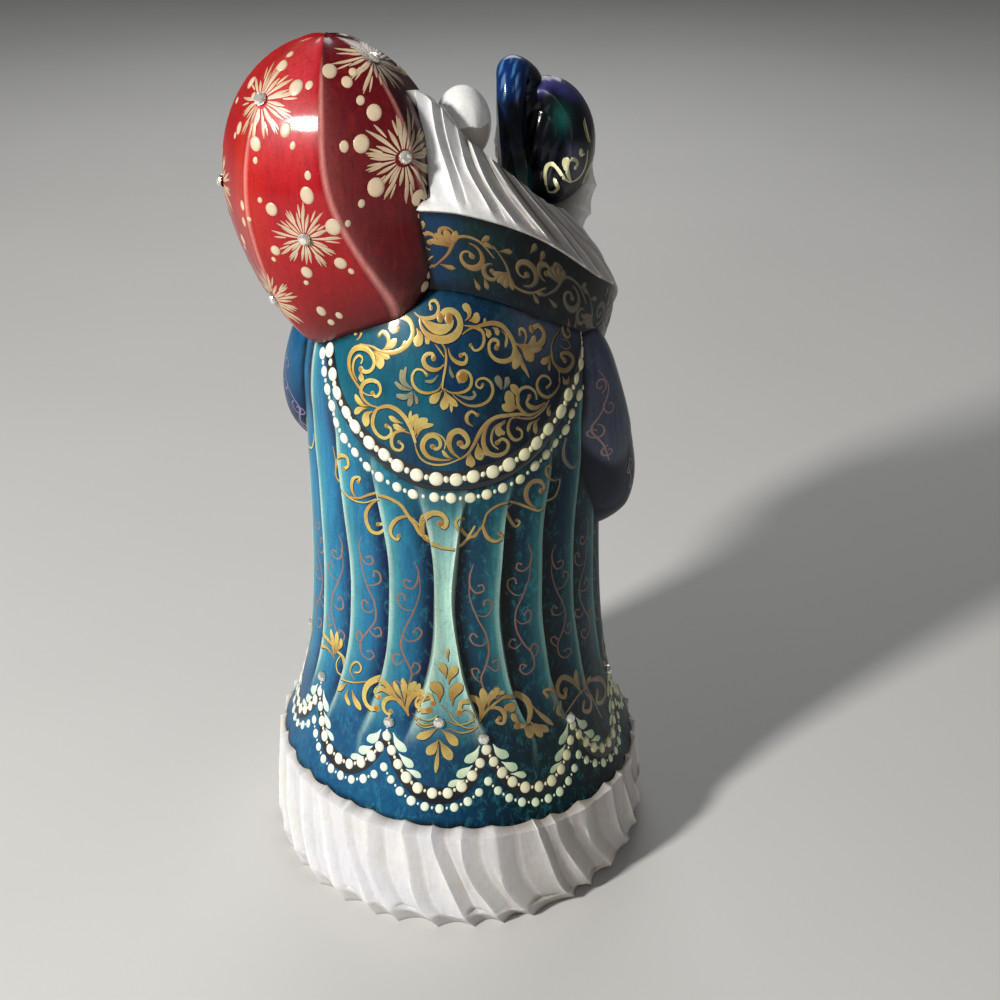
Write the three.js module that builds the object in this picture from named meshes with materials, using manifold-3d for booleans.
// A carved wooden santa with a sack on the left shoulder, painted and lacquered, with glued-on rhinestones.
// Millimetres and degrees. +Z is up, the figure faces -Y, its left hand is towards +X.
// The origin is the middle of the flat underside. A turn is an angle round the figure, seen from above:
// 0 is the middle of the back, and it grows towards the figure's right hand, so 90 is -X and 180 the front.

import * as THREE from 'three';
import { mergeVertices } from 'three/addons/utils/BufferGeometryUtils.js';
import Module from 'manifold-3d';

// Fur band round the foot
const furHeight = 30.5;
const furRadius = 54;
const furTopRadius = 51.6;
const furFootUndercut = 2.6;
const furGouges = 36;
const furGougeDepth = 1.3;
const furGougeSlant = 7;
const furTopSlope = 0.045;
const hemTuck = 4;

// Coat
const coatRadius = 38;
const coatDepthShare = 0.96;
const coatFlare = furTopRadius - coatRadius - 1;
const coatFlareFade = 23;
const coatShoulderHeight = 142;
const coatTopHeight = 187;
const coatTopCut = 7;
const coatFrontDrop = 15;
const coatDropReach = 14;
const coatRows = 13;

// Pleats, from the middle of the back to the front band
const pleatsPerSide = 9;
const pleatDepth = 2.1;
const pleatDropAngle = 1.4;
const pleatMiddle = 4;
const pleatWaistHeight = 94;
const pleatFootHeight = 51;
const pleatFullHeight = 72;
const pleatHalfAngle = 3;
const pleatFootSpread = 13;
const pleatHeadSpread = 6;
const pleatFade = 14;
const pleatLastAngle = 165;

// Yoke: the smooth raised layer over the back, with an edge shaped like a U
const yokeFootHeight = 127.5;
const yokeMiddle = 9;
const yokeHalfAngle = 62;
const yokeRise = 35;
const yokeCurl = 2.4;
const yokeThickness = 0.7;

// Big turned-up collar, fur inside and painted cloth outside. It stands high behind the head.
const collarX = -6;
const collarY = -3;
const collarRise = 22.7;
const collarHeight = coatShoulderHeight + collarRise;
const collarHalfWidth = 35;
const collarHalfDepth = 34.5;
const collarLeftShare = 1.25;
const collarSideSlope = 0.187;
const collarBackSlope = 0.846;
const collarBandHeight = 13.4;
const collarBackBandExtra = 7;
const collarSideBandExtra = 2.4;
const collarBandInset = 4.7;
const collarFurLip = 0.6;
const collarInnerFall = 5;
const collarInnerShare = 0.3;
const collarGouges = 28;
const collarGougeDepth = 0.9;
const collarGougeSlant = 9;

// Head, cap and pompom, placed from the collar that they stand in
const headX = -22.2;
const headY = -6;
const headRise = 35.8;
const headHeight = collarHeight + headRise;
const capHalfWidth = 12;
const capHalfHeight = 15.5;
const capFrontShare = 0.45;
const brimRadius = 11.5;
const brimHeightShare = 1.36;
const brimTilt = 74;
const brimWidth = 7.4;
const brimThickness = 4.2;
const brimGouges = 16;
const capHollow = 3.6;
const capHollowMiddle = 1.5;
const capHollowRise = 2;
const capHollowLeftWidth = 5;
const capHollowRightWidth = 8.5;
const capHollowHalfHeight = 12;
const tailRadius = 4.2;
const pompomRadius = 6.6;
const pompomHalfHeight = 8.8;
const pompomAcross = 17.7;
const pompomBack = 14.5;
const pompomRise = 7.4;
const faceHalfWidth = 9.6;
const moustacheForward = 19.6;
const moustacheDrop = 14.4;

// Sack, standing in the collar on the left shoulder
const sackX = 25;
const sackY = 15;
const sackRise = 27.1;
const sackHeight = collarHeight + sackRise;
const sackHalfWidth = 25.6;
const sackHalfDepth = 23;
const sackHalfHeight = 37;
const sackFacets = 8;
const sackFacetTurn = 7;
const sackFacetDepth = 0.06;
const sackFacetDrift = 52;
const sackFootTaper = 0.1;
const sackFill = 0.14;
const sackFootFill = 0.55;
const sackFillTurn = 58;
const sackFillSpread = 30;
const sackNeckRadius = 7;

// Sleeves, cuffs and mittens
const sleeveRadius = 11;
const bellRadius = 13.4;
const cuffRadius = 9.4;
const mittenRadius = 6.2;

// Front: beard and fur band down the coat
const beardHalfWidth = 13;
const beardHalfDepth = 9.4;
const beardLength = 50;
const beardLocks = 8;
const beardSway = 12;
const beardLean = 26;
const beardTwist = 0.5;
const frontBandHalfAngle = 9.5;
const frontBandThickness = 1.8;
const frontBandRise = 8;
const frontBandGouges = 13;

// Rhinestones. Those on the sack are placed by a turn and a tilt upwards, seen from the sack's middle.
const hemCrystals = 10;
const hemCrystalHeight = 56.5;
const hemCrystalSlope = 0.12;
const palmetteCrystalTurn = 1.5;
const palmetteCrystalHeight = 60;
const sackCrystalWays = [
  [-41, 55], [52, 30], [-6, -8], [66, 69], [-45, -50], [-84, 8], [-120, 44], [-140, -14],
];
const crystalRadius = 1.5;
const crystalHeight = 1.1;
const crystalSides = 6;
const glueGap = 0.3;

// Faces flatter than this to each other are joined into one
const joinTolerance = 0.1;

const wasm = await Module();
wasm.setup();

const { clamp, lerp, smoothstep, degToRad } = THREE.MathUtils;
const ease = (x) => smoothstep(x, 0, 1);
const bow = (x) => Math.sin(Math.PI * clamp(x, 0, 1));

// Puts a point at a turn round an upright axis.
function aroundAxis(turn, radius, height, depthShare = 1) {
  const angle = degToRad(turn);
  return new THREE.Vector3(-radius * Math.sin(angle), radius * depthShare * Math.cos(angle), height);
}

// A three.js geometry becomes a solid once its doubled corners are merged and each corner is placed.
function solidOf(geometry, place) {
  geometry.deleteAttribute('normal');
  geometry.deleteAttribute('uv');
  const merged = mergeVertices(geometry, 1e-4);
  const corners = merged.getAttribute('position');
  const placed = new Float32Array(corners.count * 3);
  for (let i = 0; i < corners.count; i += 1) {
    place(new THREE.Vector3().fromBufferAttribute(corners, i)).toArray(placed, i * 3);
  }
  const triVerts = new Uint32Array(merged.index.array);
  return new wasm.Manifold(new wasm.Mesh({ numProp: 3, vertProperties: placed, triVerts }));
}

// A skin over stacked rings, closed by a flat fan at the first and at the last ring. Columns run
// anticlockwise seen from the last ring, which is from above where the rings are stacked upwards.
function loft(columns, rows, pointAt) {
  const rings = [];
  for (let row = 0; row <= rows; row += 1) {
    rings.push(Array.from({ length: columns }, (_, column) => pointAt(column, row)));
  }
  const middle = (ring) => ring
    .reduce((sum, point) => sum.add(point), new THREE.Vector3())
    .divideScalar(columns);
  const drum = new THREE.CylinderGeometry(1, 1, rows, columns, rows).rotateX(Math.PI / 2);
  return solidOf(drum, (corner) => {
    const ring = rings[Math.round(corner.z + rows / 2)];
    if (Math.hypot(corner.x, corner.y) < 0.5) {
      return middle(ring);
    }
    const share = Math.atan2(corner.x, -corner.y) / (2 * Math.PI);
    return ring[(Math.round(share * columns) + columns) % columns].clone();
  });
}

// A ball whose every direction is placed by a function. Its poles lie up and down.
function blob(columns, rows, pointAt) {
  const ball = new THREE.SphereGeometry(1, columns, rows).rotateX(Math.PI / 2);
  return solidOf(ball, (corner) => pointAt(corner.normalize()));
}

// A slab of columns and rows with an outer and an inner face, such as a raised band.
function slab(columns, rows, pointAt) {
  const box = new THREE.BoxGeometry(1, 1, 1, columns, rows, 1);
  return solidOf(box, (corner) => pointAt(corner.x + 0.5, corner.y + 0.5, corner.z > 0));
}

// A round limb along a smooth path, with a radius at each of a few even stations of the path.
function limb(path, radii, columns, rows, ringShape = () => 1) {
  const curve = new THREE.CatmullRomCurve3(path.map((point) => new THREE.Vector3(...point)));
  const frames = curve.computeFrenetFrames(rows);
  const stations = radii.length - 1;
  return loft(columns, rows, (column, row) => {
    const along = row / rows;
    const station = Math.min(Math.floor(along * stations), stations - 1);
    const share = ease(along * stations - station);
    const angle = (2 * Math.PI * column) / columns;
    const radius = lerp(radii[station], radii[station + 1], share) * ringShape(along, angle);
    return curve.getPointAt(along)
      .addScaledVector(frames.normals[row], radius * Math.cos(angle))
      .addScaledVector(frames.binormals[row], radius * Math.sin(angle));
  });
}

// A smooth closed wave through stations spaced evenly round a full turn.
function roundStations(values) {
  const curve = new THREE.CatmullRomCurve3(values.map((value, i) => new THREE.Vector3(i, value, 0)), true);
  return (turn) => curve.getPoint((((turn % 360) + 360) % 360) / 360).y;
}

// The height of the fur's top edge, which slopes down to the figure's right.
function rimHeight(turn) {
  return furHeight - furTopSlope * furTopRadius * Math.sin(degToRad(turn));
}

function coatOutline(turn, height) {
  const flare = coatFlare * Math.exp(-Math.max(0, height - rimHeight(turn)) / coatFlareFade);
  const overShoulder = clamp((height - coatShoulderHeight) / (coatTopHeight - coatShoulderHeight), 0, 0.93);
  return (coatRadius + flare) * Math.sqrt(1 - overShoulder ** 2);
}

// A place on the coat's skin, or off it by an offset. The shoulders come down lower in front.
function coatPlace(turn, height, offset) {
  const place = aroundAxis(turn, coatOutline(turn, height) + offset, height, coatDepthShare);
  const towardsFront = Math.max(0, -Math.cos(degToRad(turn)));
  place.z -= coatFrontDrop * towardsFront * smoothstep(height, coatShoulderHeight - coatDropReach, coatTopHeight);
  return place;
}

function yokeEdge(turn) {
  return yokeFootHeight + yokeRise * Math.abs((turn - yokeMiddle) / yokeHalfAngle) ** yokeCurl;
}

// Where a pleat's raised edge lies: the middle pleat narrows at the waist and opens above and below it.
function pleatEdge(number, height) {
  const below = clamp((pleatWaistHeight - height) / (pleatWaistHeight - pleatFootHeight), 0, 1);
  const above = clamp((height - pleatWaistHeight) / (yokeFootHeight - pleatWaistHeight), 0, 1);
  const first = pleatHalfAngle + pleatFootSpread * below ** 2 + pleatHeadSpread * above ** 2;
  return first + (number * (pleatLastAngle - first)) / pleatsPerSide;
}

// How deep the pleats are cut at a place: nothing at their foot and just under the yoke.
function pleatCut(turn, height) {
  const fromFoot = smoothstep(height, pleatFootHeight, pleatFullHeight);
  const fromYoke = smoothstep(Math.min(yokeEdge(turn), coatShoulderHeight) - height, 0, pleatFade);
  return pleatDepth * fromFoot * fromYoke;
}

// The coat's columns, from the middle of the front round by the left side: each pleat rises from
// its low side to a crisp raised edge and drops steeply to the next.
function coatColumns() {
  const rises = [0, 0.45, 1];
  const side = [];
  for (let number = 1; number <= pleatsPerSide; number += 1) {
    for (const rise of rises) {
      side.push({ number, rise, lift: Math.sin((rise * Math.PI) / 2) });
    }
  }
  const back = { number: 0, rise: 1, lift: 1 };
  const front = { number: pleatsPerSide + 1, rise: 0, lift: 0 };
  const half = (sign) => [back, ...side, front].map((column) => ({ ...column, sign }));
  return [{ middle: 180 }, ...half(-1).reverse(), { middle: 0 }, ...half(1)];
}

function coatTurn(column, height) {
  if (column.middle !== undefined) {
    return column.middle === 0 ? pleatMiddle : column.middle;
  }
  const high = column.number > pleatsPerSide ? 180 : pleatEdge(column.number, height);
  const low = column.number === 0 ? high : pleatEdge(column.number - 1, height) + pleatDropAngle;
  const turn = lerp(low, high, column.rise);
  return pleatMiddle * (1 - turn / 180) + column.sign * turn;
}

function coat() {
  const columns = coatColumns();
  return loft(columns.length, coatRows, (index, row) => {
    const column = columns[index];
    const share = lerp(row / coatRows, ease(row / coatRows), 0.5);
    const height = lerp(furHeight - hemTuck, coatTopHeight - coatTopCut, share);
    const turn = coatTurn(column, height);
    const lift = column.middle === undefined ? column.lift : 1 - column.middle / 180;
    return coatPlace(turn, height, -pleatCut(turn, height) * (1 - lift));
  });
}

function yoke() {
  return slab(16, 4, (across, up, outside) => {
    const turn = yokeMiddle + lerp(-yokeHalfAngle, yokeHalfAngle, across);
    const height = lerp(yokeEdge(turn), coatTopHeight - coatTopCut - 5, up);
    return coatPlace(turn, height, outside ? yokeThickness : -4);
  });
}

// Fur band of the hem: hollow gouges side by side, with a short undercut row of facets at the floor.
function furHem() {
  const steps = 2;
  const columns = furGouges * steps;
  const rows = [
    { height: 0, radius: furRadius - furFootUndercut, cut: 0.8 },
    { height: furHeight * 0.15, radius: furRadius - 0.3, cut: 1 },
    { height: furHeight * 0.5, radius: furRadius - 0.8, cut: 1 },
    { height: furHeight, radius: furTopRadius, cut: 0.55 },
    { height: furHeight + 1, radius: furTopRadius - 2.6, cut: 0 },
  ];
  return loft(columns, rows.length - 1, (column, row) => {
    const { height, radius, cut } = rows[row];
    const slant = furGougeSlant * (1 - height / furHeight);
    const turn = 180 + (360 * column) / columns + slant;
    const hollow = column % steps === 0 ? 0 : 1;
    const place = aroundAxis(turn, radius - furGougeDepth * cut * hollow, height);
    place.z *= rimHeight(turn) / furHeight;
    return place;
  });
}

// How far the collar's edge lies above its slope: a little on the right, and more under the sack.
const collarLift = roundStations([
  0.02, 0.045, 0.055, 0.2, 0.18, 0.08, 0.1, 0.35, 0.43, 0.29, 0.09, 0.01,
]);

// A place on the collar's outer side. Its edge slopes down to the figure's right and to the front.
function collarPoint(turn, radiusShare, drop) {
  const flat = aroundAxis(turn, 1, 0);
  const x = flat.x * collarHalfWidth * (flat.x > 0 ? collarLeftShare : 1);
  const y = flat.y * collarHalfDepth;
  const edge = collarHeight + collarSideSlope * x + collarBackSlope * y + collarHalfDepth * collarLift(turn);
  return new THREE.Vector3(collarX + x * radiusShare, collarY + y * radiusShare, edge - drop);
}

// Top edge of the collar's fur, round the head: low in front, high where it stands against the sack.
// The stations go round from the middle of the back, as shares of the collar's half width and depth.
const collarTopShare = roundStations([
  0.62, 0.6, 0.6, 0.64, 0.74, 0.82, 0.84, 0.8, 0.7, 0.68, 0.72, 0.76,
]);
const collarTopRise = roundStations([
  1.24, 0.98, 0.73, 0.57, 0.36, -0.14, -0.36, -0.05, 0.44, 0.82, 1.31, 1.5,
]);

function collar() {
  const columns = collarGouges * 2;
  const bandShare = 1 - collarBandInset / collarHalfWidth;
  return loft(columns, 7, (column, row) => {
    const slant = row < 3 ? 0 : (3 - row) * collarGougeSlant / 3;
    const turn = 180 + (360 * column) / columns + slant;
    const towardsBack = Math.max(0, Math.cos(degToRad(turn)));
    const towardsRight = Math.max(0, Math.sin(degToRad(turn)));
    const bandDrop = collarBandHeight
      + collarBackBandExtra * towardsBack + collarSideBandExtra * towardsRight ** 2;
    if (row === 0) {
      return collarPoint(turn, bandShare * 0.6, bandDrop - 1);
    }
    if (row === 1) {
      return collarPoint(turn, bandShare, bandDrop);
    }
    if (row === 2) {
      return collarPoint(turn, 1 - collarFurLip / collarHalfWidth, 0.5);
    }
    const edge = collarPoint(turn, 1, 0);
    const top = collarPoint(turn, collarTopShare(turn), 0);
    top.z = collarHeight + collarHalfDepth * collarTopRise(turn);
    if (row === 7) {
      const inner = top.clone().lerp(new THREE.Vector3(collarX, collarY, top.z), collarInnerShare);
      return inner.setZ(top.z - collarInnerFall);
    }
    const up = (row - 3) / 3;
    const gouge = column % 2 === 0 ? 0 : collarGougeDepth * (1 - 0.5 * up);
    return edge.lerp(top, up).add(aroundAxis(turn, 1.4 * bow(up) - gouge, 0));
  });
}

// The sack is cut with broad knife facets. Their ridges run down it and drift to one side near its
// foot, on the side that shows. It is fuller where it leans on the collar behind the head.
function sack() {
  const slice = 360 / sackFacets;
  const steps = 2;
  return blob(sackFacets * steps, 14, (way) => {
    const turn = (Math.atan2(-way.x, way.y) * 180) / Math.PI;
    const place = Math.abs(1 - 2 * Math.abs(turn / slice - Math.round(turn / slice)));
    const facet = 1 - sackFacetDepth * (1 - place * place) * (1 - way.z * way.z * 0.6);
    const corner = Math.sin(2 * Math.acos(Math.abs(way.z)));
    const girth = 1 + (way.z > 0 ? 0.05 : -sackFootTaper) * corner;
    const drifting = smoothstep(turn, -45, 10) * (1 - smoothstep(turn, 100, 170));
    const drift = sackFacetDrift * drifting * smoothstep(-way.z, -0.5, 1) ** 1.3;
    const around = turn + sackFacetTurn + drift;
    const fill = sackFill + sackFootFill * clamp(-way.z, 0, 0.45);
    const fuller = 1 + fill * Math.exp(-(((around - sackFillTurn) / sackFillSpread) ** 2));
    const flat = aroundAxis(around, Math.hypot(way.x, way.y) * facet * girth * fuller, 0);
    return new THREE.Vector3(
      sackX + flat.x * sackHalfWidth,
      sackY + flat.y * sackHalfDepth,
      sackHeight + way.z * sackHalfHeight * (0.5 + 0.5 * facet),
    );
  });
}

// A place by the body, as shares of the coat's radius: across, backwards, and up from the shoulder.
function byBody([across, backwards, up]) {
  return [across * coatRadius, backwards * coatRadius, coatShoulderHeight + up * coatRadius];
}

// The sack is gathered over the left shoulder and held in front of it.
function sackNeck() {
  const path = [
    [0.63, 0.05, 0.95], [0.58, -0.37, 0.68], [0.6, -0.71, 0.47], [0.55, -0.89, 0.34], [0.53, -1.03, 0.24],
  ].map(byBody);
  const folds = 5;
  const pinch = (along, angle) => 1 + 0.12 * Math.sin(folds * angle) * smoothstep(along, 0.2, 0.8);
  return limb(path, [15, 11, sackNeckRadius, 4.4, sackNeckRadius], 15, 7, pinch);
}

// The crown of the cap, flatter in front where the brim frames the face. Its back is scooped out
// in one long hollow beside the fallen tip.
function cap() {
  return blob(20, 14, (way) => {
    const x = way.x * capHalfWidth;
    const z = way.z * capHalfHeight;
    const across = x - capHollowMiddle;
    const aside = across / (across > 0 ? capHollowLeftWidth : capHollowRightWidth);
    const up = (z - capHollowRise) / capHollowHalfHeight;
    const hollow = capHollow * clamp(1.5 * (1 - aside ** 2 - up ** 2), 0, 1);
    const y = way.y < 0 ? way.y * capHalfWidth * capFrontShare : way.y * capHalfWidth * 1.05 - hollow;
    return new THREE.Vector3(headX + x, headY + y, headHeight + z);
  });
}

// The tip of the cap stands up in a fold, then falls over the back of the crown.
function capTail() {
  const path = [
    [headX + 4, headY - 1, headHeight + 8],
    [headX + 6, headY + 2, headHeight + 14.4],
    [headX + 7.3, headY + 5.4, headHeight + 16.8],
    [headX + 7.4, headY + 8.2, headHeight + 12.6],
    [headX + 7, headY + 9.2, headHeight + 5],
    [headX + 6.4, headY + 9, headHeight - 4],
    [headX + 6.2, headY + 7.6, headHeight - 14],
  ];
  const radii = [5.6, 5, 3.6, 3.6, tailRadius - 0.4, tailRadius, tailRadius];
  return limb(path, radii, 12, 12);
}

function pompom() {
  return blob(14, 10, (way) => {
    const turn = Math.atan2(way.y, way.x);
    const cut = 1 - 0.03 * (1 + Math.cos(6 * turn)) * (1 - way.z * way.z);
    return new THREE.Vector3(
      headX + pompomAcross + way.x * pompomRadius * cut,
      headY + pompomBack + way.y * pompomRadius * cut,
      headHeight + pompomRise + way.z * pompomHalfHeight,
    );
  });
}

// Fur brim: a gouged ring round the head, tipped back from the brow to the nape.
function brim() {
  const tilt = degToRad(brimTilt);
  const centre = new THREE.Vector3(headX, headY - 2, headHeight - 11);
  const sideways = new THREE.Vector3(1, 0, 0);
  const backwards = new THREE.Vector3(0, Math.cos(tilt), -Math.sin(tilt));
  const axis = new THREE.Vector3().crossVectors(sideways, backwards);
  const profile = [[-0.5, -0.9], [-0.36, 0.1], [0, 0.5], [0.36, 0.1], [0.5, -0.9]];
  return loft(brimGouges * 2, profile.length - 1, (column, row) => {
    const angle = (2 * Math.PI * column) / (brimGouges * 2);
    const gouge = column % 2 === 0 ? 0 : 0.7;
    const [alongAxis, outwards] = profile[row];
    const radius = brimRadius + outwards * brimThickness * 0.5 - (outwards > 0 ? gouge : 0);
    return centre.clone()
      .addScaledVector(sideways, radius * Math.cos(angle))
      .addScaledVector(backwards, radius * brimHeightShare * Math.sin(angle))
      .addScaledVector(axis, alongAxis * brimWidth);
  });
}

// A calm, plain face: brow, nose, cheeks and the mass of hair round them.
function face() {
  const centre = new THREE.Vector3(headX, headY - 9, headHeight - 10);
  const head = blob(14, 10, (way) => {
    const brow = way.y < 0 ? 0.5 * bow((way.z - 0.1) / 0.5) : 0;
    const socket = way.y < 0 ? 1.1 * bow((way.z + 0.2) / 0.4) * bow(Math.abs(way.x) / 0.7) : 0;
    return new THREE.Vector3(
      way.x * faceHalfWidth,
      way.y * (9.6 + brow - socket),
      way.z * 12.5,
    ).add(centre);
  });
  const nose = blob(6, 6, (way) => new THREE.Vector3(
    centre.x + way.x * 1.8,
    centre.y - 9.4 + way.y * 2.4 - (way.z < 0 ? 0.5 : 0),
    centre.z - 0.6 + way.z * 3.4,
  ));
  const cheek = (side) => blob(8, 6, (way) => centre.clone()
    .add(new THREE.Vector3(side * 4.6, -6.4, -2))
    .addScaledVector(way, 3.2));
  return [head, nose, cheek(-1), cheek(1)];
}

// Beard in long locks, falling from the cheeks to the chest.
function beard() {
  const top = headHeight - 11;
  const levels = [1, 0.86, 0.7, 0.54, 0.38, 0.24, 0.12, 0.04, 0];
  const columns = beardLocks * 3;
  return loft(columns, levels.length - 1, (column, row) => {
    const down = levels[row];
    const angle = (2 * Math.PI * column) / columns + beardTwist * down;
    const lock = column % 3 === 0 ? 1 - 0.16 * smoothstep(down, 0.05, 0.35) : 1;
    const girth = (0.55 + 0.45 * Math.sqrt(bow(down * 0.5 + 0.06))) * (1 - 0.72 * down ** 3);
    return new THREE.Vector3(
      headX + beardSway * ease(down) + beardHalfWidth * girth * lock * Math.cos(angle),
      headY - beardLean * (0.45 + 0.55 * ease(down * 1.3)) + beardHalfDepth * girth * lock * Math.sin(angle),
      top - beardLength * down,
    );
  });
}

function moustache() {
  const half = (side) => {
    const y = headY - moustacheForward;
    const z = headHeight - moustacheDrop;
    const path = [
      [headX - side * 0.6, y, z],
      [headX + side * 3.6, y - 1.4, z - 0.6],
      [headX + side * 7.4, y - 0.4, z - 4],
    ];
    return limb(path, [1.6, 2.2, 0.7], 6, 4);
  };
  return [half(-1), half(1)];
}

function frontBand() {
  const rows = frontBandGouges * 2;
  return slab(2, rows, (across, up, outside) => {
    const turn = 180 + lerp(-frontBandHalfAngle, frontBandHalfAngle, across);
    const height = lerp(furHeight - hemTuck, coatShoulderHeight + frontBandRise, up);
    const scallop = Math.round(up * rows) % 2 === 0 ? 0 : 0.8;
    const crown = frontBandThickness * (1 - 0.35 * (2 * across - 1) ** 2) - scallop;
    return coatPlace(turn, height, outside ? crown : -5);
  });
}

function rightSleeve() {
  const path = [
    [-0.63, 0.13, 0.53], [-0.82, 0.13, 0.08], [-0.92, 0.05, -0.47], [-0.88, -0.24, -0.88],
    [-0.74, -0.63, -0.88], [-0.5, -0.95, -0.7],
  ].map(byBody);
  return limb(path, [9, 11, sleeveRadius + 0.6, bellRadius, bellRadius, sleeveRadius], 12, 9);
}

function leftSleeve() {
  const path = [
    [0.63, 0.08, 0.58], [0.84, 0.08, 0.16], [0.89, -0.1, -0.29], [0.82, -0.5, -0.34],
    [0.68, -0.79, -0.13], [0.58, -0.92, 0.08],
  ].map(byBody);
  return limb(path, [8, 10, sleeveRadius, sleeveRadius + 1, sleeveRadius + 0.6, 9.4], 12, 9);
}

function cuff(from, to) {
  const gouges = 8;
  const scallop = (along, angle) => 1 - 0.07 * (1 - Math.cos(gouges * angle));
  const radii = [cuffRadius * 0.86, cuffRadius, cuffRadius, cuffRadius * 0.8];
  return limb([from, to].map(byBody), radii, gouges * 2, 3, scallop);
}

function mitten(centre, thumb) {
  const hand = blob(10, 7, (way) => new THREE.Vector3(...byBody(centre)).add(new THREE.Vector3(
    way.x * mittenRadius * 1.1,
    way.y * mittenRadius * 0.85,
    way.z * mittenRadius,
  )));
  return [hand, limb(thumb.map(byBody), [2.4, 2.6, 1.8], 6, 4)];
}

function carvedFigure() {
  const pieces = [
    coat(), yoke(), furHem(), collar(), sack(), sackNeck(),
    cap(), capTail(), pompom(), brim(), ...face(), beard(), ...moustache(), frontBand(),
    rightSleeve(), cuff([-0.55, -0.87, -0.72], [-0.42, -1.03, -0.64]),
    ...mitten([-0.33, -1.08, -0.59], [[-0.37, -1.11, -0.51], [-0.29, -1.17, -0.43], [-0.21, -1.17, -0.38]]),
    leftSleeve(), cuff([0.61, -0.84, -0.03], [0.58, -0.95, 0.13]),
    ...mitten([0.54, -0.97, 0.29], [[0.45, -1.05, 0.29], [0.39, -1.11, 0.37], [0.45, -1.11, 0.45]]),
  ];
  return pieces.reduce((whole, piece) => whole.add(piece)).simplify(joinTolerance);
}

function geometryOf(solid) {
  const { vertProperties, triVerts } = solid.getMesh();
  const geometry = new THREE.BufferGeometry();
  geometry.setAttribute('position', new THREE.BufferAttribute(new Float32Array(vertProperties), 3));
  geometry.setIndex(new THREE.BufferAttribute(new Uint32Array(triVerts), 1));
  geometry.computeVertexNormals();
  return geometry;
}

const paintedWood = new THREE.MeshStandardMaterial({ color: 0x14506e, roughness: 0.25, metalness: 0 });
const crystalGlass = new THREE.MeshStandardMaterial({ color: 0xe8e6dc, roughness: 0.05, metalness: 0.1 });

const santa = new THREE.Group();
const figure = new THREE.Mesh(geometryOf(carvedFigure()), paintedWood);
figure.name = 'carved_santa';
santa.add(figure);

// A flat-backed stone: a low girdle and a crown of facets with a flat table.
function crystal() {
  const girdle = crystalHeight * 0.3;
  const rings = [[crystalRadius, 0], [crystalRadius, girdle], [crystalRadius * 0.6, crystalHeight]];
  return loft(crystalSides, rings.length - 1, (column, row) => {
    const [radius, height] = rings[row];
    return aroundAxis(180 + (360 * column) / crystalSides, radius, height);
  });
}

// Sets a stone on the carved surface where a ray from outside meets it, a film of glue off the wood.
const caster = new THREE.Raycaster();
function addCrystal(name, target, outwards) {
  const start = target.clone().addScaledVector(outwards, 60);
  caster.set(start, outwards.clone().negate());
  const hit = caster.intersectObject(figure)[0];
  const stone = new THREE.Mesh(geometryOf(crystal()), crystalGlass);
  const tiltRoom = crystalRadius * 0.2;
  stone.name = name;
  stone.position.copy(hit.point).addScaledVector(hit.face.normal, glueGap + tiltRoom);
  stone.quaternion.setFromUnitVectors(new THREE.Vector3(0, 0, 1), hit.face.normal);
  santa.add(stone);
}

for (let number = 0; number < hemCrystals; number += 1) {
  const turn = 180 / hemCrystals + (360 * number) / hemCrystals;
  const name = `hem_crystal_${String(number + 1).padStart(2, '0')}`;
  const place = aroundAxis(turn, coatRadius, hemCrystalHeight);
  place.z += hemCrystalSlope * place.x;
  addCrystal(name, place, aroundAxis(turn, 1, 0));
}
addCrystal(
  'palmette_crystal',
  aroundAxis(palmetteCrystalTurn, coatRadius, palmetteCrystalHeight),
  aroundAxis(palmetteCrystalTurn, 1, 0),
);
sackCrystalWays.forEach(([turn, tilt], i) => {
  const flat = Math.cos(degToRad(tilt));
  const outwards = aroundAxis(turn, flat, Math.sin(degToRad(tilt)));
  addCrystal(`sack_crystal_${i + 1}`, new THREE.Vector3(sackX, sackY, sackHeight), outwards);
});

export default santa;
